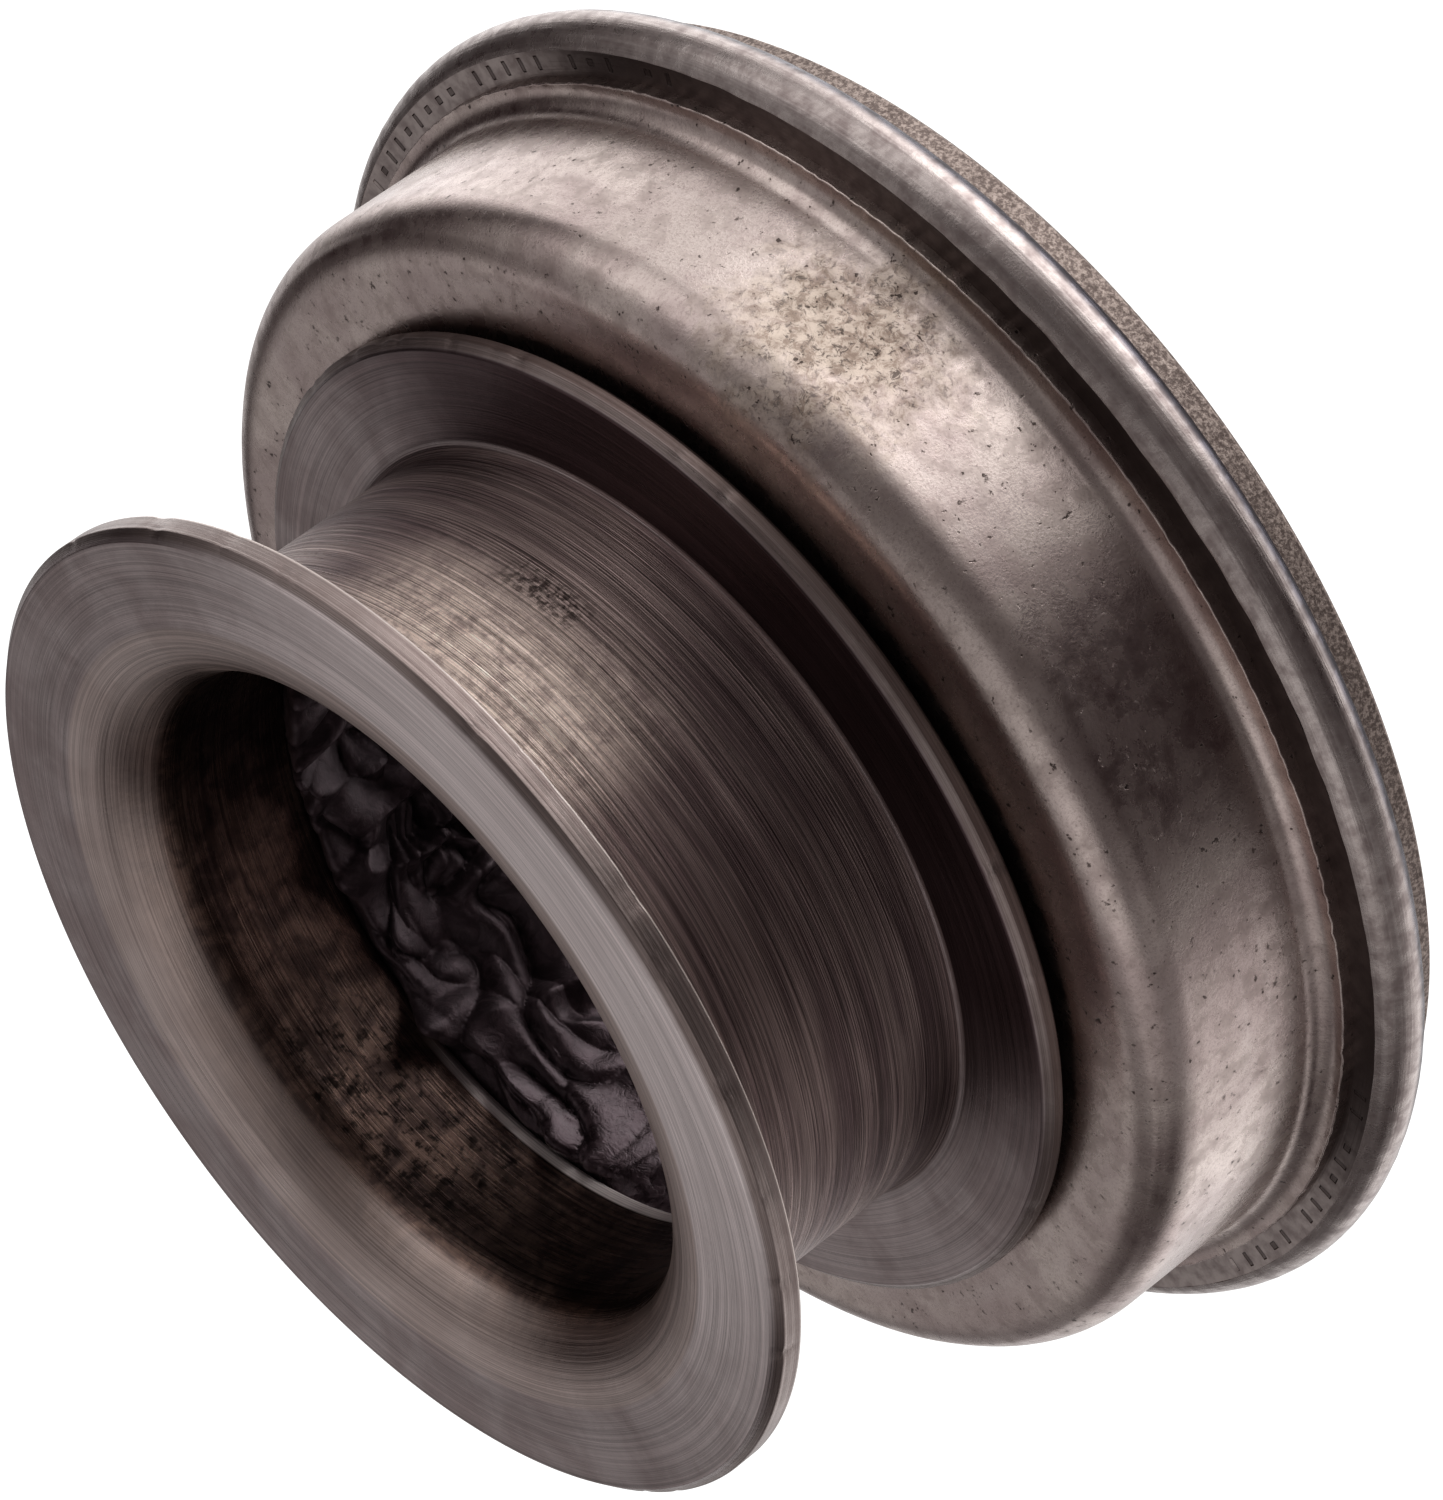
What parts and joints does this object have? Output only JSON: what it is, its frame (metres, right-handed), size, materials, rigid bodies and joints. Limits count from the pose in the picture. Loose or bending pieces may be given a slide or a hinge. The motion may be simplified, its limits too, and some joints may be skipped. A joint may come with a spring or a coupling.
{
  "type": "clutch release bearing",
  "caption": "Clutch release bearing on a flanged carrier sleeve, with a fork groove, a pressed steel shell and a turning thrust face.",
  "frame": {"origin": "on the axis, in the plane of the thrust face", "axes": "+Z along the bore axis, from the thrust face to the fork flange"},
  "size_m": [0.0718, 0.0718, 0.037],
  "materials": {
    "turned_steel": "turned, dark oiled steel with fine concentric tool marks",
    "grease": "glossy black wrinkled grease",
    "bearing_steel": "ground",
    "felt": "pressed felt",
    "pressed_steel": "satin, stained and lightly rusted",
    "rim_steel": "satin, worn bright along the ridge",
    "race_steel": "ground, with a dull brown edge",
    "cage_steel": "pressed",
    "ball_steel": "polished"
  },
  "bodies": {
    "carrier": {"carrier_sleeve": "turned_steel", "bore_grease": "grease", "inner_race": "bearing_steel", "felt_seal": "felt", "dust_shield": "pressed_steel"},
    "rotor": {"housing_shell": "pressed_steel", "rim_band": "rim_steel", "thrust_race": "race_steel"},
    "cage": {"ball_cage": "cage_steel", "ball_1": "ball_steel", "ball_2": "ball_steel", "ball_3": "ball_steel", "ball_4": "ball_steel", "ball_5": "ball_steel", "ball_6": "ball_steel", "ball_7": "ball_steel", "ball_8": "ball_steel", "ball_9": "ball_steel", "ball_10": "ball_steel", "ball_11": "ball_steel", "ball_12": "ball_steel", "ball_13": "ball_steel", "ball_14": "ball_steel", "ball_15": "ball_steel"}
  },
  "joints": [
    {"name": "thrust_spin", "type": "hinge", "parent": "carrier", "child": "rotor", "pos_m": [0, 0, 0.009], "axis": [0, 0, 1], "continuous": true},
    {"name": "cage_orbit", "type": "hinge", "parent": "carrier", "child": "cage", "pos_m": [0, 0, 0.009], "axis": [0, 0, 1], "continuous": true}
  ],
  "couplings": [
    {"joint": "cage_orbit", "follows": "thrust_spin", "ratio": 0.5557}
  ]
}
